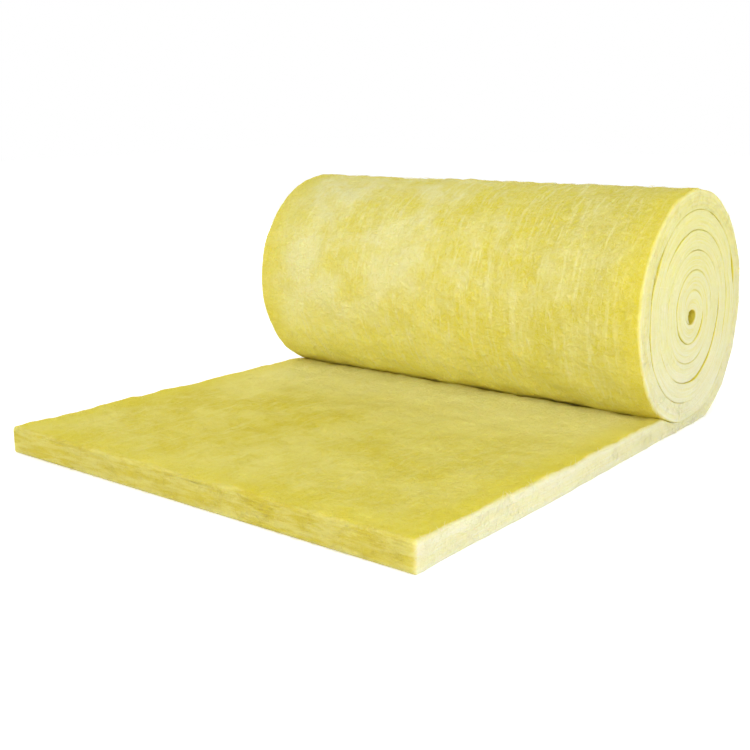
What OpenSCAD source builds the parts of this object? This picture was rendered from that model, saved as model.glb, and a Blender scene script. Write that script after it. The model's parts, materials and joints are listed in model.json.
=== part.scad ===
// Glass wool insulation blanket, wound into a roll with its free end unrolled flat on the floor.
// One piece of soft stock. Its width runs along X, the free end points to -Y and the floor is Z = 0.
// All sizes are in millimetres.

/* [Blanket] */
// Width of the blanket, which is the length of the roll
blanket_w = 1200; // [600:10:1600]
// Thickness of the wool at the free cut end, where nothing presses it
wool_t = 66; // [50:1:90]
// Thickness of one turn, drawn tighter in the roll
turn_t = 49; // [38:1:60]

/* [Roll] */
// Number of turns from the eye to the outside
turns = 6; // [3:1:9]
// Diameter of the eye through the middle of the roll
eye_d = 36; // [30:1:80]
// How far the roll's own weight has pressed its underside flat
settle = 28; // [12:1:32]

/* [Tail] */
// Length that lies flat, from below the eye to the cut end
tail_l = 1143; // [700:1:2000]

/* [Edges and creases] */
// Radius of the soft edges at the roll's ends and along the top of the tail
edge_r = 8; // [3:0.5:14]
// Width of the crease between two turns, seen on the roll's ends
crease_w = 6; // [3:0.5:10]
// Depth of that crease
crease_depth = 14; // [5:0.5:30]

/* [Hidden] */
$fn = 96;
wool_yellow = [0.86, 0.80, 0.36];

// The winding is made of half turns. Those behind the eye are centred on it, and those in front are
// centred half a turn higher, so each turn steps in by its own thickness and runs on without a kink.
eye_r = eye_d / 2;
back_r = eye_r + turns * turn_t;
front_r = back_r - turn_t / 2;
eye_z = back_r - settle;
front_z = eye_z + turn_t / 2;
inner_r = (eye_r + turn_t) / 2;

// The top of the tail falls evenly from the cut end to the thickness of one turn below the eye.
tail_slope = (wool_t - turn_t) / tail_l;
tail_angle = atan(tail_slope);
tail_tuck = eye_r + turn_t / 2;

// The nip is where the front of the roll comes down on the tail.
nip_drop = front_z - turn_t;
nip_reach = sqrt(front_r * front_r * (1 + tail_slope * tail_slope) - nip_drop * nip_drop);
nip_y = (tail_slope * nip_drop + nip_reach) / (1 + tail_slope * tail_slope);

// Turns a section about an axis along X at height z, from an angle measured from straight down
// and growing towards the back.
module wound(z, from, sweep)
{
    translate([0, 0, z])
        rotate([0, 90, 0])
            rotate([0, 0, from])
                rotate_extrude(angle = sweep)
                    children();
}

// Half of the roll's lengthwise section, with its two outer corners rounded.
module roll_section(radius)
{
    translate([0, -blanket_w / 2])
        square([radius - edge_r, blanket_w]);
    translate([0, edge_r - blanket_w / 2])
        square([radius, blanket_w - 2 * edge_r]);
    for (side = [-1, 1])
        translate([radius - edge_r, side * (blanket_w / 2 - edge_r)])
            circle(edge_r);
}

// The wound part as one turned body, flat where it rests.
module roll()
{
    intersection() {
        union() {
            wound(eye_z, 0, 180)
                roll_section(back_r);
            wound(front_z, 180, 180)
                roll_section(front_r);
        }
        translate([-blanket_w, -2 * back_r, 0])
            cube([2 * blanket_w, 4 * back_r, 4 * back_r]);
    }
}

// Side outline of the tail: flat below, rising to the cut end, whose top corner is rounded.
module tail_outline()
{
    corner_y = edge_r - tail_l;
    corner_z = turn_t - tail_slope * corner_y - edge_r / cos(tail_angle);
    translate([corner_y, corner_z])
        circle(edge_r);
    polygon([
        [-tail_l, 0],
        [tail_tuck, 0],
        [tail_tuck, turn_t - tail_slope * tail_tuck],
        [corner_y + edge_r * sin(tail_angle), corner_z + edge_r * cos(tail_angle)],
        [corner_y, corner_z],
        [-tail_l, corner_z]
    ]);
}

// Section across the tail, with both top corners rounded. Its top stays clear of the tail's top face.
module tail_section()
{
    depth = 2 * wool_t;
    rise = edge_r / 5;
    translate([-blanket_w / 2, -depth])
        square([blanket_w, depth + rise - edge_r]);
    translate([edge_r - blanket_w / 2, -depth])
        square([blanket_w - 2 * edge_r, depth + rise]);
    for (side = [-1, 1])
        translate([side * (blanket_w / 2 - edge_r), rise - edge_r])
            circle(edge_r);
}

// The free end of the blanket, tucked in below the roll.
module tail()
{
    intersection() {
        rotate([90, 0, 90])
            linear_extrude(2 * blanket_w, center = true)
                tail_outline();
        translate([0, 0, turn_t])
            rotate([90 - tail_angle, 0, 0])
                translate([0, 0, -2 * tail_tuck])
                    linear_extrude(tail_l + 4 * tail_tuck)
                        tail_section();
    }
}

// Half of a ring of crease width, behind the eye or, with side -1, in front of it.
module half_ring(radius, z, side)
{
    reach = radius + crease_w;
    translate([0, z])
        intersection() {
            difference() {
                circle(radius + crease_w / 2);
                circle(radius - crease_w / 2);
            }
            translate([side > 0 ? 0 : -reach, -reach])
                square([reach, 2 * reach]);
        }
}

// The line between the turns, running from the nip below the roll and round to the eye.
module crease_line()
{
    intersection() {
        half_ring(front_r, front_z, -1);
        translate([-nip_y, 0])
            square([2 * nip_y, turn_t + wool_t]);
    }
    for (turn = [1 : turns - 1])
        half_ring(back_r - turn * turn_t, eye_z, 1);
    for (turn = [1 : turns - 2])
        half_ring(front_r - turn * turn_t, front_z, -1);
    half_ring(inner_r, eye_z + inner_r, -1);
}

module creases()
{
    for (side = [-1, 1])
        translate([side * blanket_w / 2, 0, 0])
            rotate([90, 0, 90])
                linear_extrude(2 * crease_depth, center = true)
                    crease_line();
}

// The open middle of the winding.
module eye()
{
    translate([0, 0, eye_z])
        rotate([0, 90, 0])
            cylinder(h = 2 * blanket_w, r = eye_r, center = true);
}

module blanket()
{
    color(wool_yellow)
        translate([0, (tail_l - back_r) / 2, 0])
            difference() {
                union() {
                    roll();
                    tail();
                }
                eye();
                creases();
            }
}

blanket();
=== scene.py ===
import json
import math
from collections import namedtuple

import bpy
import numpy as np
from mathutils import Matrix, Vector


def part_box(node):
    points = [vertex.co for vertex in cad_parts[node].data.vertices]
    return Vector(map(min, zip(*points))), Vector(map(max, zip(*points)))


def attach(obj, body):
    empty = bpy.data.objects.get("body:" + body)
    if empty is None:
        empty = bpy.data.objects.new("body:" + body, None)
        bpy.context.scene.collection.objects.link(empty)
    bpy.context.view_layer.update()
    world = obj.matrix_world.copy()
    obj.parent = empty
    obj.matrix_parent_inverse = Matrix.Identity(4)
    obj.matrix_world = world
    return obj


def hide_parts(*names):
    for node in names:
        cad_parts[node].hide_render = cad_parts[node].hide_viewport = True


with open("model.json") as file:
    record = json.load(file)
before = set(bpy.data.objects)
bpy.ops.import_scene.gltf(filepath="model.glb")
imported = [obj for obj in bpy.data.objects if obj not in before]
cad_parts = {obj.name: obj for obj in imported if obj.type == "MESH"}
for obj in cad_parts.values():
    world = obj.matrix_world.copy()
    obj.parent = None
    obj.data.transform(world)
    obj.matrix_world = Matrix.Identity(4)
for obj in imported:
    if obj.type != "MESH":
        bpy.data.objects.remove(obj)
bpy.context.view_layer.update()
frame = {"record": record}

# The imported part's box, and the eye that the blanket is wound round.
low, high = (np.array(corner, float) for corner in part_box("blanket"))
eye_mount = next(m for m in frame["record"]["mounts"] if m["name"] == "eye")

# Sizes of the blanket, in metres.
TURNS = 6
WOOL_THICKNESS = 0.066
EDGE_RADIUS = 0.008
FLOOR_RADIUS = 0.003
CREASE_RADIUS = 0.0022
NIP_SOFTNESS = 0.003
TURN_GAP = 0.0002
WOUND_SWELL = 0.2
TAPER_END = 0.86
LAYER = 0.0085

# Runs along the blanket over which its faces are pressed together and it lifts off the floor.
OUTER_PRESS_RUN = 0.08
INNER_PRESS_RUN = 0.05
LIFT_RUN = 0.2

# How far the skin departs from the plain winding.
BROAD_SWELL = 0.0010
OUTER_SWELL = 0.0011
INNER_SWELL = 0.0012
FINE_SWELL = 0.0007
EDGE_WANDER = 0.0012
EDGE_RUFFLE = 0.0008
EDGE_RIDGE = 0.0007
END_RUFFLE = 0.0012
END_RIDGE = 0.0009

# Sizes that follow from the frame.
half_width = float(high[0])
cut_end_y = float(low[1])
eye_y, eye_z = (float(c) for c in eye_mount["pos_m"][1:])
eye_r = eye_mount["dims"]["r_mm"] / 1000
back_r = float(high[1]) - eye_y
turn_t = (back_r - eye_r) / TURNS
front_r = back_r - turn_t / 2
front_z = eye_z + turn_t / 2
tail_l = eye_y - cut_end_y
tail_slope = (WOOL_THICKNESS - turn_t) / tail_l
nip_reach = math.sqrt(front_r**2 - (front_z - turn_t) ** 2)
nip_along = tail_l - nip_reach
top_along = tail_l + math.pi * (back_r - turn_t / 2)

# Spacing of the mesh along the blanket, its points round an edge, and its columns across the blanket
# as shares of half the width.
SPACING = 0.0105
INNER_SPACING = 0.009
EDGE_POINTS = 12
CORNER_POINTS = 6
SHARP_ANGLE = math.radians(55)
FINE_ACROSS = np.linspace(-0.995, 0.995, 111)
END_ACROSS = np.array([-0.98, -0.93, -0.5, 0, 0.5, 0.93, 0.98])

# Loose fibres on the faces, the trimmed edges and the cut end: how many, their sizes, how deep they
# are rooted, and the share of the width that they cover.
FACE_FIBRES = 4700
EDGE_FIBRES = 2300
END_FIBRES = 400
FIBRE_RADIUS = 0.0003
FIBRE_LENGTH = (0.012, 0.045)
FIBRE_SWAY = 0.008
FIBRE_RISE = (0.0012, 0.0055)
FIBRE_ROOT = 0.0008
FIBRE_FIELD = 0.97
FIBRE_RINGS = 5
FIBRE_SIDES = 3

# Colours of the wool, as linear red, green and blue.
DEEP_OUTER = (0.73, 0.62, 0.035, 1)
PALE_OUTER = (0.83, 0.77, 0.33, 1)
DEEP_INNER = (0.64, 0.515, 0.012, 1)
PALE_INNER = (0.775, 0.68, 0.135, 1)
# Painted shade: the outer face goes over to this colour towards the right end.
SHADED_OUTER = (0.52, 0.45, 0.06, 1)
WISP = (0.87, 0.83, 0.40, 1)
DEEP_WISP = (0.80, 0.73, 0.19, 1)
GOLD_MARGIN = (0.76, 0.64, 0.035, 1)
# Painted golden shade in the fold of the nip.
PAINTED_NIP_SHADE = (0.84, 0.69, 0.03, 1)
# Painted light round the nip, on the roll and on the tail, against the shade that they cast on each
# other.
PAINTED_LIGHT_ROLL = (0.96, 0.87, 0.11, 1)
PAINTED_LIGHT_TAIL = (0.97, 0.92, 0.37, 1)
DEEP_END = (0.58, 0.465, 0.05, 1)
PALE_END = (0.72, 0.65, 0.22, 1)
# Painted golden shade in the creases of the winding.
PAINTED_CREASE_SHADE = (0.90, 0.78, 0.10, 1)
DEEP_EDGE = (0.85, 0.78, 0.24, 1)
PALE_EDGE = (0.92, 0.89, 0.60, 1)
# Painted light from the floor on the trimmed edges, and painted shade on them near the top of the roll.
PAINTED_FLOOR_LIGHT_EDGE = (0.93, 0.91, 0.74, 1)
PAINTED_TOP_SHADE_EDGE = (0.90, 0.83, 0.24, 1)

Loop = namedtuple("Loop", "share rise_out rise_in unit unit_out unit_in edge face edge_count across")
Wool = namedtuple("Wool", "along across through height cut inward end tone wisps tufts specks layers "
                          "streaks fibres")


def soft_waves(u, v, wavelength, seed, count=40):
    """Smooth random relief over the plane (u, v): the sum of count sine waves with random headings and
    phases and lengths from 0.7 to 1.6 of wavelength, scaled to a standard deviation of one."""
    draw = np.random.default_rng(seed)
    heading = draw.uniform(0, 2 * np.pi, count)
    number = 2 * np.pi / (wavelength * draw.uniform(0.7, 1.6, count))
    phase = draw.uniform(0, 2 * np.pi, count)
    total = np.zeros(np.broadcast(u, v).shape)
    for ku, kv, p in zip(number * np.cos(heading), number * np.sin(heading), phase):
        total += np.sin(ku * u + kv * v + p)
    return total * math.sqrt(2 / count)


def tail_top(y):
    """Height of the tail's top: the lower of its straight slope and the front of the roll that presses
    on it, blended by a soft minimum so that the wool bends under the roll without a fold."""
    reach = np.clip(np.abs(y - eye_y), 0, front_r)
    roll_front = front_z - np.sqrt(front_r**2 - reach**2)
    slope = turn_t + tail_slope * (eye_y - y)
    k = NIP_SOFTNESS
    return -k * np.log(np.exp(-slope / k) + np.exp(-roll_front / k))


def tail_stations(spacing):
    """Outer and inner face along the tail: the floor, and the tail's top above it. The stations start
    close together, for the rounding of the cut end."""
    lead = cut_end_y + EDGE_RADIUS * (1 - np.cos(np.linspace(0, np.pi / 2, CORNER_POINTS)))
    rest = np.linspace(cut_end_y + 2 * EDGE_RADIUS, eye_y, int(round(tail_l / spacing)))
    y = np.concatenate([lead, rest])
    return np.stack([y, 0 * y], 1), np.stack([y, tail_top(y)], 1)


def half_turn_stations(turn, behind, spacing):
    """Outer and inner face over half a turn: arcs about the eye behind it, and about a centre half a
    turn higher in front of it. The angle grows from straight down towards the back and over the top.
    The first half turn is flat where it rests, and the last one closes on the wall of the eye."""
    last = turn == TURNS - 1
    radius = (back_r if behind else front_r) - turn * turn_t
    centre = np.array([eye_y, eye_z if behind else front_z])
    start, stop = (0.0, np.pi) if behind else (np.pi, np.pi * (1 + (TAPER_END if last else 1)))
    steps = max(24, int(round(radius * (stop - start) / spacing)))
    angle = np.linspace(start, stop, steps + 1)
    heading = np.stack([np.sin(angle), -np.cos(angle)], 1)
    outer = centre + radius * heading
    inner = centre + (radius - turn_t) * heading
    if last and not behind:
        inner = np.array([eye_y, eye_z]) + eye_r * heading
    if turn == 0:
        outer[:, 1] = np.maximum(outer[:, 1], 0)
    return outer, inner


def joined_stations(runs):
    """Runs of stations end to end, without the station that each run shares with the one before."""
    outer = np.concatenate([runs[0][0]] + [run[0][1:] for run in runs[1:]])
    inner = np.concatenate([runs[0][1]] + [run[1][1:] for run in runs[1:]])
    return outer, inner


def length_along(outer, inner):
    """Distance along the middle of the blanket's thickness."""
    middle = (outer + inner) / 2
    step = np.linalg.norm(np.diff(middle, axis=0), axis=1)
    return np.concatenate([[0], np.cumsum(step)])


# Stations of the tail with the outer turn, and of the turns wound inside it.
outer_run = joined_stations([tail_stations(SPACING), half_turn_stations(0, True, SPACING),
                             half_turn_stations(0, False, SPACING)])
inner_run = joined_stations([half_turn_stations(turn, behind, INNER_SPACING)
                             for turn in range(1, TURNS) for behind in (True, False)])
outer_along = length_along(*outer_run)
inner_along = outer_along[-1] + length_along(*inner_run)
roll_nip_along = outer_along[-1] - front_r * math.asin(nip_reach / front_r)


def covered(along):
    """How far the outer and the inner face are pressed between turns: none where they are open, all
    from a little past the nip on."""
    outer = np.clip((along - roll_nip_along) / OUTER_PRESS_RUN, 0, 1)
    inner = np.clip((along - nip_along) / INNER_PRESS_RUN, 0, 1)
    return outer, inner


def section_loop(across):
    """Loop round the blanket's section: up the right edge from the outer face to the inner one, over
    the inner face, down the left edge and back over the outer face. An edge is a quarter round, a
    straight stretch and a quarter round.

    A point has its share of the thickness and of half the width, how far the radii of its outer and
    inner rounding move it through and across, the side of its edge, and how much it is on a face."""
    arc = np.linspace(0, np.pi / 2, CORNER_POINTS)
    straight = np.linspace(0, 1, EDGE_POINTS)[1:-1]
    still = 0 * arc
    share = np.concatenate([still, straight, still + 1])
    rise_out = np.concatenate([1 - np.cos(arc), 1 - straight, still])
    rise_in = np.concatenate([still, straight, 1 - np.cos(arc[::-1])])
    depth_out = np.concatenate([1 - np.sin(arc), 0 * straight, still])
    depth_in = depth_out[::-1]
    face = depth_out + depth_in
    none, one = 0 * across, 1 + 0 * across
    return Loop(
        share=np.concatenate([share, one, share[::-1], none]),
        rise_out=np.concatenate([rise_out, none, rise_out[::-1], none]),
        rise_in=np.concatenate([rise_in, none, rise_in[::-1], none]),
        unit=np.concatenate([1 + 0 * share, across[::-1], -1 - 0 * share, across]),
        unit_out=np.concatenate([depth_out, none, -depth_out[::-1], across]),
        unit_in=np.concatenate([depth_in, across[::-1], -depth_in[::-1], none]),
        edge=np.concatenate([1 + 0 * share, none, -1 - 0 * share, none]),
        face=np.concatenate([face, one, face[::-1], one]),
        edge_count=len(share), across=across)


def edge_radii(along):
    """Rounding of the trimmed edges at the outer and the inner face: soft where the face is open, small
    where it lies on the floor and where it is pressed between turns."""
    lifted = np.clip((along - tail_l) / LIFT_RUN, 0, 1)
    outer_open = FLOOR_RADIUS + (EDGE_RADIUS - FLOOR_RADIUS) * lifted
    outer_pressed, inner_pressed = covered(along)
    return (outer_open + (CREASE_RADIUS - outer_open) * outer_pressed,
            EDGE_RADIUS + (CREASE_RADIUS - EDGE_RADIUS) * inner_pressed)


def strip_skin(outer, inner, along, loop, cut_end):
    """Points of the loop carried along the stations, and their depth below the outer face.

    A point sits at its share of the way from the outer to the inner face, and its edge is rounded by
    the station's two radii, for the outer and the inner face. The faces swell and dip by soft waves,
    less where they are pressed. The trimmed edges step in and out along the winding, and thin ridges
    run along them as the wool's layers do. With a cut end, the first stations are drawn in by a
    quarter round."""
    span = inner - outer
    thickness = np.linalg.norm(span, axis=1)[:, None]
    heading = span / thickness
    radius_out, radius_in = edge_radii(along[:, None])
    fit = np.minimum(1, thickness / (1.3 * (radius_out + radius_in)))
    through = loop.share * thickness + (loop.rise_out * radius_out - loop.rise_in * radius_in) * fit
    x = loop.unit * half_width - loop.unit_out * radius_out - loop.unit_in * radius_in
    s = np.broadcast_to(along[:, None], through.shape)

    resting = (outer[:, 1] < 1e-4)[:, None]
    free_out, free_in = (1 - pressed * (1 - WOUND_SWELL) for pressed in covered(s))
    swell_out = (BROAD_SWELL * soft_waves(s, x, 0.28, 11) + OUTER_SWELL * soft_waves(s, x, 0.09, 12)
                 + FINE_SWELL * soft_waves(s, x, 0.04, 13))
    swell_in = (BROAD_SWELL * soft_waves(s, x, 0.30, 21) + INNER_SWELL * soft_waves(s, x, 0.10, 22)
                + FINE_SWELL * soft_waves(s, x, 0.04, 23))
    through += np.where(loop.share == 1, swell_in * free_in * loop.face - TURN_GAP, 0)
    through -= np.where((loop.share == 0) & ~resting, swell_out * free_out * loop.face, 0)

    layer = through / LAYER + 0.5 * soft_waves(s, 0 * s, 0.35, 31)
    ridges = EDGE_RIDGE * np.sin(2 * np.pi * layer) * (0.6 + 0.4 * soft_waves(s, through, 0.15, 43))
    right_step = (EDGE_WANDER * soft_waves(s, 0 * s, 0.55, 41)
                  + EDGE_RUFFLE * soft_waves(s, through, 0.12, 42))
    left_step = (EDGE_WANDER * soft_waves(s, 0 * s, 0.6, 51)
                 + EDGE_RUFFLE * soft_waves(s, through, 0.12, 52))
    x += np.where(loop.edge > 0, right_step + ridges, 0)
    x -= np.where(loop.edge < 0, left_step + ridges, 0)

    if cut_end:
        arc = np.clip(along / EDGE_RADIUS, 0, 1)[:, None]
        draw_in = EDGE_RADIUS * (1 - np.sqrt(1 - (1 - arc) ** 2))
        middle = thickness / 2
        through = middle + (through - middle) * (1 - draw_in / middle)
        x *= 1 - draw_in / half_width

    points = np.empty(through.shape + (3,))
    points[..., 0] = x
    points[..., 1:] = outer[:, None, :] + heading[:, None, :] * through[..., None]
    points[..., 2] = np.maximum(points[..., 2], 0)
    return points, through


def end_cap(points, through, loop, cut_end):
    """Inside of the section at one end: straight lines from the left edge to the right one, through
    the loop's columns. A cut end is ruffled by soft waves and by thin ridges along its layers."""
    rows = np.arange(1, loop.edge_count - 1)
    left = points[2 * loop.edge_count + len(loop.across) - 1 - rows]
    right = points[rows]
    weight = (loop.across + 1) / 2
    body = left[:, None, :] + (right - left)[:, None, :] * weight[None, :, None]
    depth = np.broadcast_to(through[rows][:, None], body.shape[:2])
    if cut_end:
        x = body[..., 0]
        layer = depth / LAYER + 0.6 * soft_waves(x, 0 * x, 0.3, 62)
        body[..., 1] += END_RUFFLE * soft_waves(x, depth, 0.22, 61)
        ridges = END_RIDGE * np.sin(2 * np.pi * layer)
        body[..., 1] += ridges * (0.5 + 0.5 * soft_waves(x, depth, 0.1, 63))
    return body, depth


def cap_quads(loop, ring, start):
    """Quads of an end's grid: rows from the outer to the inner face and columns from the left edge to
    the right one. Its rim is the ring of the loop's points, and its inside is numbered from start."""
    edge_n, face_n = loop.edge_count, len(loop.across)
    rows = np.arange(edge_n)
    grid = np.empty((edge_n, face_n + 2), int)
    grid[:, 0] = ring[2 * edge_n + face_n - 1 - rows]
    grid[:, -1] = ring[rows]
    grid[0, 1:-1] = ring[2 * edge_n + face_n:]
    grid[-1, 1:-1] = ring[edge_n:edge_n + face_n][::-1]
    grid[1:-1, 1:-1] = start + np.arange((edge_n - 2) * face_n).reshape(edge_n - 2, face_n)
    return np.stack([grid[:-1, :-1], grid[:-1, 1:], grid[1:, 1:], grid[1:, :-1]], -1).reshape(-1, 4)


def tube_quads(stations, around):
    """Quads between neighbouring rings of a tube with the given stations and points around. They face
    out of the tube, because its rings run counter-clockwise as seen along its heading."""
    i, j = np.meshgrid(np.arange(stations - 1), np.arange(around), indexing="ij")
    j_next = (j + 1) % around
    corners = [i * around + j, (i + 1) * around + j, (i + 1) * around + j_next, i * around + j_next]
    return np.stack(corners, -1).reshape(-1, 4)


def strip_piece(name, run, along, across, cut_end):
    """Closed skin of a stretch of blanket: the tube of its section carried along its stations, and a
    grid over either end."""
    loop = section_loop(across)
    points, through = strip_skin(*run, along, loop, cut_end)
    stations, around = through.shape
    cut = np.broadcast_to(np.abs(loop.edge) * (1 - loop.face), through.shape)
    if cut_end:
        cut = cut * np.clip(along / EDGE_RADIUS, 0, 1)[:, None]
    flat = np.stack([np.broadcast_to(along[:, None], through.shape), points[..., 0], through], -1)
    inward = np.broadcast_to(loop.share, through.shape)

    all_points, all_flat = [points.reshape(-1, 3)], [flat.reshape(-1, 3)]
    all_cut, all_inward = [cut.reshape(-1)], [inward.reshape(-1)]
    faces, start = [tube_quads(stations, around)], stations * around
    for station, turned in ((0, 1), (stations - 1, -1)):
        body, depth = end_cap(points[station], through[station], loop, cut_end and station == 0)
        faces.append(cap_quads(loop, station * around + np.arange(around), start)[:, ::turned])
        start += depth.size
        all_points.append(body.reshape(-1, 3))
        all_flat.append(np.stack([0 * depth + along[station], body[..., 0], depth], -1).reshape(-1, 3))
        all_cut.append(np.zeros(depth.size))
        all_inward.append(np.ones(depth.size))
    return mesh_piece(name, np.concatenate(all_points), faces, np.concatenate(all_flat),
                      np.concatenate(all_cut), np.concatenate(all_inward))


def mesh_piece(name, points, faces, flat, cut, inward):
    """Puts points and faces into a mesh. A point also has its place in the flat blanket (along, across,
    through), how much it belongs to a trimmed edge, and its share of the way to the inner face."""
    mesh = bpy.data.meshes.new(name)
    corners = np.concatenate([part.ravel() for part in faces])
    sizes = np.concatenate([np.full(len(part), part.shape[1]) for part in faces])
    mesh.vertices.add(len(points))
    mesh.vertices.foreach_set("co", points.astype(np.float32).ravel())
    mesh.loops.add(len(corners))
    mesh.loops.foreach_set("vertex_index", corners.astype(np.int32))
    mesh.polygons.add(len(sizes))
    mesh.polygons.foreach_set("loop_start", (np.cumsum(sizes) - sizes).astype(np.int32))
    mesh.update(calc_edges=True)
    place = mesh.attributes.new("flat", "FLOAT_VECTOR", "POINT")
    place.data.foreach_set("vector", flat.astype(np.float32).ravel())
    for key, value in (("cut", cut), ("inward", inward)):
        mesh.attributes.new(key, "FLOAT", "POINT").data.foreach_set("value", value.astype(np.float32))
    mesh.shade_smooth()
    mesh.set_sharp_from_angle(angle=SHARP_ANGLE)
    mesh.validate()
    piece = bpy.data.objects.new(name, mesh)
    bpy.context.collection.objects.link(piece)
    return piece


def fibre_roots(run, along, draw):
    """Random roots on the blanket: on the open faces, the two trimmed edges and the cut end. Gives the
    place in the flat blanket, the share of the thickness, how much it is on a trimmed edge, the place
    in space and three directions: out of the surface, and two along it."""
    outer, inner = run
    open_tail = tail_l - front_r
    count = FACE_FIBRES + EDGE_FIBRES + END_FIBRES
    s = draw.uniform(0.004, along[-1], count)
    s[:END_FIBRES] = 0
    share = np.where(s < open_tail, 1.0, 0.0)
    share[:END_FIBRES + EDGE_FIBRES] = draw.uniform(0.08, 0.92, END_FIBRES + EDGE_FIBRES)
    x = draw.uniform(-FIBRE_FIELD, FIBRE_FIELD, count) * half_width
    edges = slice(END_FIBRES, END_FIBRES + EDGE_FIBRES)
    x[edges] = half_width * np.sign(x[edges])

    def carried(values):
        return np.stack([np.interp(s, along, values[:, axis]) for axis in range(2)], 1)

    base, top = carried(outer), carried(inner)
    span = top - base
    thickness = np.linalg.norm(span, axis=1)
    up = np.zeros((count, 3))
    up[:, 1:] = span / thickness[:, None]
    wide = np.zeros((count, 3))
    wide[:, 0] = 1
    onward = np.cross(up, wide)
    place = np.stack([x, 0 * x, 0 * x], 1)
    place[:, 1:] = base + span * share[:, None]

    out = np.where((share > 0.5)[:, None], up, -up)
    first, second = onward.copy(), wide.copy()
    out[edges] = wide[edges] * np.sign(x[edges])[:, None]
    second[edges] = up[edges]
    out[:END_FIBRES] = (0, -1, 0)
    first[:END_FIBRES] = up[:END_FIBRES]
    cut = np.zeros(count)
    cut[edges] = 1
    flat = np.stack([s, x, share * thickness], 1)
    return flat, share, cut, place, out, first, second


def fibre_piece(name, run, along):
    """Loose fibres as thin closed tubes. A fibre leaves its root along the surface in a random heading,
    sways to one side and rises in an arch or to a free tip. Both ends of an arch are in the wool."""
    draw = np.random.default_rng(71)
    flat, share, cut, root, out, first, second = fibre_roots(run, along, draw)
    count = len(root)

    def each(low_value, high_value):
        return draw.uniform(low_value, high_value, count)[:, None, None]

    t = np.linspace(0, 1, FIBRE_RINGS)[None, :, None]
    turn = each(0, 2 * np.pi)
    ahead = np.cos(turn) * first[:, None] + np.sin(turn) * second[:, None]
    aside = np.cos(turn) * second[:, None] - np.sin(turn) * first[:, None]
    length, sway, rise = each(*FIBRE_LENGTH), each(-FIBRE_SWAY, FIBRE_SWAY), each(*FIBRE_RISE)
    loose = each(-1.5, 1).clip(0, 1)
    height = rise * ((1 - loose) * np.sin(np.pi * t) + loose * t) - FIBRE_ROOT
    path = (root[:, None] + ahead * length * (t - 0.5) + aside * sway * np.sin(np.pi * t)
            + out[:, None] * height)
    path[..., 2] = np.maximum(path[..., 2], 2 * FIBRE_RADIUS)

    slope = np.gradient(path, axis=1)
    slope /= np.linalg.norm(slope, axis=2)[..., None]
    side = np.cross(slope, np.broadcast_to(out[:, None], slope.shape))
    side /= np.linalg.norm(side, axis=2)[..., None]
    lift = np.cross(side, slope)
    radius = FIBRE_RADIUS * (0.45 + 0.55 * np.sin(np.pi * t))
    angle = np.linspace(0, 2 * np.pi, FIBRE_SIDES, endpoint=False)[None, None, :, None]
    around = np.cos(angle) * side[:, :, None] + np.sin(angle) * lift[:, :, None]
    points = path[:, :, None] + radius[..., None] * around

    each_n = FIBRE_RINGS * FIBRE_SIDES
    offset = (np.arange(count) * each_n)[:, None, None]
    walls = (offset + tube_quads(FIBRE_RINGS, FIBRE_SIDES)).reshape(-1, 4)
    ends = np.stack([np.arange(FIBRE_SIDES), each_n - 1 - np.arange(FIBRE_SIDES)])
    tips = (offset + ends).reshape(-1, FIBRE_SIDES)

    def spread_over(values):
        return np.repeat(values, each_n, axis=0)

    return mesh_piece(name, points.reshape(-1, 3), [walls, tips], spread_over(flat), spread_over(cut),
                      spread_over(share))


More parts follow.
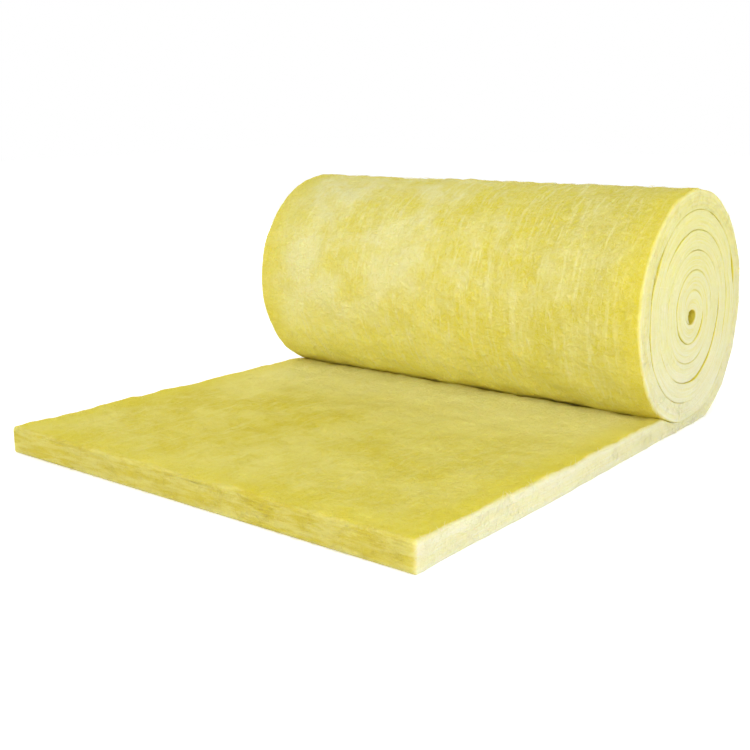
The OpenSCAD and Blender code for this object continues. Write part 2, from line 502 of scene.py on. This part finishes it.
class NodeMaker:
    """Makes the nodes of one material. A value is a number, a colour or the output of another node."""

    def __init__(self, material):
        material.use_nodes = True
        self.nodes, self.links = material.node_tree.nodes, material.node_tree.links

    def feed(self, socket, value):
        """Sets a constant on the socket, or links another node's output to it."""
        if isinstance(value, (float, tuple)):
            socket.default_value = value
        else:
            self.links.new(value, socket)

    def attribute(self, name, output):
        """The mesh's own value at a point."""
        node = self.nodes.new("ShaderNodeAttribute")
        node.attribute_name = name
        return node.outputs[output]

    def noise(self, vector, size, detail=3.0, roughness=0.55, distortion=0.0, turn=0.0):
        """Noise whose features have the given sizes in metres, along axes turned about the third."""
        sizing = self.nodes.new("ShaderNodeMapping")
        sizing.vector_type = "TEXTURE"
        sizing.inputs["Scale"].default_value = size if isinstance(size, tuple) else (size,) * 3
        sizing.inputs["Rotation"].default_value = (0, 0, turn)
        self.links.new(vector, sizing.inputs["Vector"])
        node = self.nodes.new("ShaderNodeTexNoise")
        node.inputs["Scale"].default_value = 1.0
        node.inputs["Detail"].default_value = detail
        node.inputs["Roughness"].default_value = roughness
        node.inputs["Distortion"].default_value = distortion
        self.links.new(sizing.outputs["Vector"], node.inputs["Vector"])
        return node.outputs["Fac"]

    def spread(self, value, low_at, high_at, low_to=0.0, high_to=1.0):
        """A soft step from one level to another, between two values."""
        node = self.nodes.new("ShaderNodeMapRange")
        node.interpolation_type = "SMOOTHSTEP"
        node.inputs["From Min"].default_value = low_at
        node.inputs["From Max"].default_value = high_at
        node.inputs["To Min"].default_value = low_to
        node.inputs["To Max"].default_value = high_to
        self.links.new(value, node.inputs["Value"])
        return node.outputs["Result"]

    def maths(self, operation, first, second):
        """The outcome of an operation on two values."""
        node = self.nodes.new("ShaderNodeMath")
        node.operation = operation
        self.feed(node.inputs[0], first)
        self.feed(node.inputs[1], second)
        return node.outputs[0]

    def times(self, value, share):
        """A share of a value."""
        return self.maths("MULTIPLY", value, share)

    def blend(self, factor, first, second):
        """The first colour, going over to the second as the factor grows."""
        node = self.nodes.new("ShaderNodeMix")
        node.data_type = "RGBA"
        self.feed(node.inputs["Factor"], factor)
        self.feed(node.inputs["A"], first)
        self.feed(node.inputs["B"], second)
        return node.outputs["Result"]

    def near(self, value, centre, reach, most=1.0):
        """Most at the centre, falling softly to none at the reach on either side of it."""
        away = self.maths("ABSOLUTE", self.maths("SUBTRACT", value, centre), 0.0)
        return self.spread(away, 0.0, reach, most, 0.0)

    def strands(self, vector, size, turn):
        """Thin lines where a noise drawn out along one heading crosses its middle value."""
        level = self.noise(vector, size, 1.0, 0.5, 0.6, turn)
        return self.near(level, 0.5, 0.05)


def wool_patterns(make):
    """A point's place in the flat blanket and its height, and the patterns that its colour and bump are
    made of: broad tones, wisps drawn out along the blanket, tufts, specks, thin layers, streaks along
    the layers, and four crossing sets of fine fibres."""
    flat = make.attribute("flat", "Vector")
    place = make.nodes.new("ShaderNodeTexCoord").outputs["Object"]
    parts = make.nodes.new("ShaderNodeSeparateXYZ")
    make.links.new(flat, parts.inputs[0])
    along, across, through = (parts.outputs[axis] for axis in "XYZ")
    spot = make.nodes.new("ShaderNodeSeparateXYZ")
    make.links.new(place, spot.inputs[0])

    clouds = make.spread(make.noise(place, 0.2, 2.0, 0.5), 0.37, 0.62)
    patches = make.spread(make.noise(place, 0.08, 4.0, 0.62, 0.4), 0.38, 0.64)
    fibres = make.strands(flat, (0.035, 0.0045, 0.0045), 0.35)
    crossing = make.strands(flat, (0.03, 0.004, 0.004), -0.45)
    upright = make.strands(flat, (0.026, 0.004, 0.004), 1.25)
    leaning = make.strands(flat, (0.026, 0.0045, 0.0045), -1.2)
    for other in (crossing, upright, leaning):
        fibres = make.maths("MAXIMUM", fibres, other)
    return Wool(
        along=along, across=across, through=through, height=spot.outputs["Z"],
        cut=make.attribute("cut", "Fac"), inward=make.attribute("inward", "Fac"),
        end=make.near(along, 0.0, 0.012),
        tone=make.maths("ADD", make.times(clouds, 0.5), make.times(patches, 0.5)),
        wisps=make.spread(make.noise(flat, (0.1, 0.014, 0.1), 4.0, 0.62, 0.9), 0.48, 0.74),
        tufts=make.spread(make.noise(place, 0.0135, 4.0, 0.65, 0.6), 0.33, 0.7),
        specks=make.spread(make.noise(place, 0.0065, 3.0, 0.6, 0.5), 0.5, 0.78),
        layers=make.spread(make.noise(flat, (0.11, 0.11, 0.0039), 4.0, 0.65, 0.15), 0.3, 0.72),
        streaks=make.spread(make.noise(flat, (0.09, 0.09, 0.014), 4.0, 0.65, 0.3), 0.36, 0.66),
        fibres=fibres)


def face_colour(make, wool, wisp):
    """Colour of the faces: a mottle of deep and pale yellow under paler wisps and tufts, the outer face
    paler than the inner one, with painted shade making it deeper towards the right end and over the
    top of the roll. Painted light makes the faces brighter round the nip, and painted golden shade lies
    in the fold of the nip. They are golden at the margins and streaked on the cut end."""
    # Painted shade: the outer face's tone is made deeper over the top of the roll and towards the right
    # end.
    painted_top_shade = make.near(wool.along, top_along, 0.3, 0.35)
    painted_right_and_top_shade = make.maths("ADD", make.times(wool.across, 0.5), painted_top_shade)
    outer_tone_and_painted_shade = make.maths("SUBTRACT", wool.tone, painted_right_and_top_shade)
    outer_face = make.blend(outer_tone_and_painted_shade, DEEP_OUTER, PALE_OUTER)
    # Painted light: the roll's face is brighter round the nip, where the tail and the roll shade it.
    outer_face = make.blend(make.near(wool.along, roll_nip_along, 0.34, 0.9), outer_face, PAINTED_LIGHT_ROLL)
    # Painted shade: the outer face deepens further towards the right end.
    painted_right_shade = make.spread(wool.across, 0.0, 0.5, 0.0, 0.35)
    outer_face = make.blend(painted_right_shade, outer_face, SHADED_OUTER)
    inner_face = make.blend(wool.tone, DEEP_INNER, PALE_INNER)
    # Painted light: the tail's top is brighter round the nip, under the shade of the roll.
    inner_face = make.blend(make.near(wool.along, nip_along, 0.5, 0.95), inner_face, PAINTED_LIGHT_TAIL)
    face = make.blend(wool.inward, outer_face, inner_face)
    face = make.blend(make.times(wool.wisps, 0.6), face, wisp)
    face = make.blend(make.times(wool.tufts, 0.28), face, wisp)
    face = make.blend(make.times(wool.specks, 0.35), face, DEEP_INNER)

    from_middle = make.maths("ABSOLUTE", wool.across, 0.0)
    sides = make.spread(from_middle, half_width - 0.12, half_width, 0.0, 0.75)
    margin = make.maths("MAXIMUM", sides, make.near(wool.along, 0.0, 0.13, 0.5))
    face = make.blend(margin, face, GOLD_MARGIN)
    # Painted golden shade along the fold of the nip, on the tail and on the roll.
    tail_nip_shade = make.near(wool.along, nip_along, 0.03, 0.7)
    roll_nip_shade = make.near(wool.along, roll_nip_along, 0.06, 0.7)
    face = make.blend(make.maths("MAXIMUM", tail_nip_shade, roll_nip_shade), face, PAINTED_NIP_SHADE)
    return make.blend(make.times(wool.end, 0.7), face, make.blend(wool.streaks, DEEP_END, PALE_END))


def edge_colour(make, wool):
    """Colour of the trimmed edges: thin pale layers, paler along the rims of a turn, painted golden
    shade in the creases of the winding, painted floor light making them cream low down and painted
    shade making them yellow near the top of the roll."""
    def at_faces(reach, most):
        return make.maths("MAXIMUM", make.near(wool.through, 0.0, reach, most),
                          make.near(wool.through, turn_t, reach, most))

    edge = make.blend(wool.layers, DEEP_EDGE, PALE_EDGE)
    edge = make.blend(at_faces(0.014, 0.6), edge, PALE_EDGE)
    # Painted golden shade in the creases of the winding, from a little past the nip on.
    wound_in = make.spread(wool.along, nip_along, nip_along + 0.1, 0.0, 0.6)
    edge = make.blend(make.maths("MULTIPLY", at_faces(0.006, 1.0), wound_in), edge, PAINTED_CREASE_SHADE)
    edge = make.blend(make.times(wool.tufts, 0.3), edge, PALE_EDGE)
    # Painted light bounced from the floor makes the edges creamier low down, and painted shade makes
    # them more yellow near the top.
    edge = make.blend(make.spread(wool.height, 0.06, 0.28, 0.4, 0.0), edge, PAINTED_FLOOR_LIGHT_EDGE)
    return make.blend(make.spread(wool.height, 0.26, 0.5, 0.0, 0.45), edge, PAINTED_TOP_SHADE_EDGE)


def wool_relief(make, wool):
    """Bump of the wool: tufts and fine fibres all over, and layers on the trimmed edges and cut end."""
    matted = make.maths("ADD", make.times(wool.tufts, 1.6), make.times(wool.fibres, 0.35))
    trimmed = make.maths("MULTIPLY", wool.layers, make.maths("MAXIMUM", wool.cut, wool.end))
    bump = make.nodes.new("ShaderNodeBump")
    bump.inputs["Strength"].default_value = 0.7
    bump.inputs["Distance"].default_value = 0.003
    make.links.new(make.maths("ADD", matted, make.times(trimmed, 0.9)), bump.inputs["Height"])
    return bump.outputs["Normal"]


def wool_material():
    """Yellow glass wool: matt, a little light passing through it, and pale where fine fibres cross."""
    material = bpy.data.materials.new("yellow glass wool")
    make = NodeMaker(material)
    wool = wool_patterns(make)
    wisp = make.blend(wool.inward, WISP, DEEP_WISP)
    colour = make.blend(wool.cut, face_colour(make, wool, wisp), edge_colour(make, wool))
    colour = make.blend(make.times(wool.fibres, 0.2), colour, wisp)

    shader = make.nodes["Principled BSDF"]
    make.links.new(colour, shader.inputs["Base Color"])
    make.links.new(wool_relief(make, wool), shader.inputs["Normal"])
    shader.inputs["Roughness"].default_value = 0.95
    shader.inputs["Specular IOR Level"].default_value = 0.15
    shader.inputs["Subsurface Weight"].default_value = 0.4
    shader.inputs["Subsurface Radius"].default_value = (1.0, 0.75, 0.2)
    shader.inputs["Subsurface Scale"].default_value = 0.016
    return material


# The floor, and the strength of the light from all round.
FLOOR_SIZE = 14.0
FLOOR_WHITE = (0.9, 0.9, 0.9, 1)
FLOOR_LIFT = 0.36
LIGHT_AROUND = 0.76


def background_rays(nodes, links):
    """One for the rays that show the background: those from the camera, and those that a glossy or a
    clear surface sends on."""
    path = nodes.new("ShaderNodeLightPath")
    seen = path.outputs["Is Camera Ray"]
    for kind in ("Is Glossy Ray", "Is Transmission Ray"):
        either = nodes.new("ShaderNodeMath")
        either.operation = "MAXIMUM"
        links.new(seen, either.inputs[0])
        links.new(path.outputs[kind], either.inputs[1])
        seen = either.outputs[0]
    return seen


def plain_floor():
    """A wide white floor that keeps the shadow, lifted to plain white where the camera sees it."""
    size = FLOOR_SIZE
    corners = [(-size, -size, 0), (size, -size, 0), (size, size, 0), (-size, size, 0)]
    mesh = bpy.data.meshes.new("floor")
    mesh.from_pydata(corners, [], [(0, 1, 2, 3)])
    floor = bpy.data.objects.new("floor", mesh)
    bpy.context.collection.objects.link(floor)
    material = bpy.data.materials.new("white floor")
    material.use_nodes = True
    nodes, links = material.node_tree.nodes, material.node_tree.links
    nodes.clear()
    diffuse = nodes.new("ShaderNodeBsdfDiffuse")
    diffuse.inputs["Color"].default_value = FLOOR_WHITE
    glow = nodes.new("ShaderNodeEmission")
    lift = nodes.new("ShaderNodeMath")
    lift.operation = "MULTIPLY"
    lift.inputs[1].default_value = FLOOR_LIFT
    links.new(background_rays(nodes, links), lift.inputs[0])
    links.new(lift.outputs[0], glow.inputs["Strength"])
    add = nodes.new("ShaderNodeAddShader")
    out = nodes.new("ShaderNodeOutputMaterial")
    links.new(diffuse.outputs[0], add.inputs[0])
    links.new(glow.outputs[0], add.inputs[1])
    links.new(add.outputs[0], out.inputs["Surface"])
    mesh.materials.append(material)


def area_lamp(name, place, aim, size, power):
    """A round lamp at its place, turned towards its aim."""
    lamp = bpy.data.lights.new(name, "AREA")
    lamp.shape = "DISK"
    lamp.size = size
    lamp.energy = power
    obj = bpy.data.objects.new(name, lamp)
    obj.location = place
    obj.rotation_euler = (Vector(aim) - Vector(place)).to_track_quat("-Z", "Y").to_euler()
    bpy.context.collection.objects.link(obj)


def studio():
    """Even light from all round, a large lamp at the right end and weaker ones in front and behind. The
    camera sees the surroundings as plain white."""
    world = bpy.data.worlds.new("studio")
    bpy.context.scene.world = world
    world.use_nodes = True
    nodes, links = world.node_tree.nodes, world.node_tree.links
    nodes.clear()
    around = nodes.new("ShaderNodeBackground")
    around.inputs["Color"].default_value = (1, 1, 1, 1)
    around.inputs["Strength"].default_value = LIGHT_AROUND
    white = nodes.new("ShaderNodeBackground")
    white.inputs["Color"].default_value = (1, 1, 1, 1)
    mix = nodes.new("ShaderNodeMixShader")
    out = nodes.new("ShaderNodeOutputWorld")
    links.new(background_rays(nodes, links), mix.inputs[0])
    links.new(around.outputs[0], mix.inputs[1])
    links.new(white.outputs[0], mix.inputs[2])
    links.new(mix.outputs[0], out.inputs["Surface"])
    area_lamp("key", (3.8, -1.8, 1.8), (0.1, 0.1, 0.25), 2.4, 92)
    area_lamp("front", (-0.6, -4.2, 0.9), (0, 0.2, 0.2), 3.0, 64)
    area_lamp("back", (-3.8, 3.0, 1.4), (0, 0.2, 0.3), 3.0, 85)


# The camera, fitted to the photograph's edges: heading, height, tilt and lens for a 750 pixel frame.
VIEW_AZIMUTH = math.radians(37.98)
VIEW_ELEVATION = math.radians(13.66)
VIEW_TILT = math.radians(-0.52)
VIEW_DISTANCE = 2.992
VIEW_AIM = Vector((-0.107, eye_y - 0.3, 0.096))
PHOTO_LENS_PX = 1156.0
FRAME_PX = 750
WHOLE_OBJECT = 0.963
PAN = math.radians(0.84)


def photo_camera():
    """Looks at the aim from the fitted heading and height, tilted a little, panned so that the corner
    that the photograph cuts off is in the frame, with a slightly wider lens for the same reason."""
    az, el = VIEW_AZIMUTH, VIEW_ELEVATION
    ahead = Vector((-math.sin(az) * math.cos(el), math.cos(az) * math.cos(el), -math.sin(el)))
    right = Vector((math.cos(az), math.sin(az), 0))
    up = right.cross(ahead)
    place = VIEW_AIM - VIEW_DISTANCE * ahead
    right, up = (math.cos(VIEW_TILT) * right + math.sin(VIEW_TILT) * up,
                 math.cos(VIEW_TILT) * up - math.sin(VIEW_TILT) * right)
    ahead, right = (math.cos(PAN) * ahead - math.sin(PAN) * right,
                    math.cos(PAN) * right + math.sin(PAN) * ahead)
    data = bpy.data.cameras.new("camera")
    data.sensor_width = 36.0
    data.lens = data.sensor_width * PHOTO_LENS_PX * WHOLE_OBJECT / FRAME_PX
    data.clip_end = 60
    camera = bpy.data.objects.new("camera", data)
    turn = Matrix((right, up, -ahead)).transposed().to_4x4()
    camera.matrix_world = Matrix.Translation(place) @ turn
    bpy.context.collection.objects.link(camera)
    bpy.context.scene.camera = camera


def wool_pieces():
    """The tail with the outer turn, the turns wound inside it, and the loose fibres on them."""
    blanket = strip_piece("tail_and_outer_turn", outer_run, outer_along, FINE_ACROSS, True)
    wound = strip_piece("wound_turns", inner_run, inner_along, END_ACROSS, False)
    fluff = fibre_piece("loose_fibres", outer_run, outer_along)
    wool = wool_material()
    for piece in (blanket, wound, fluff):
        piece.data.materials.append(wool)
        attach(piece, "root")
    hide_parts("blanket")


wool_pieces()
plain_floor()
studio()
photo_camera()
bpy.context.scene.view_settings.view_transform = "Standard"
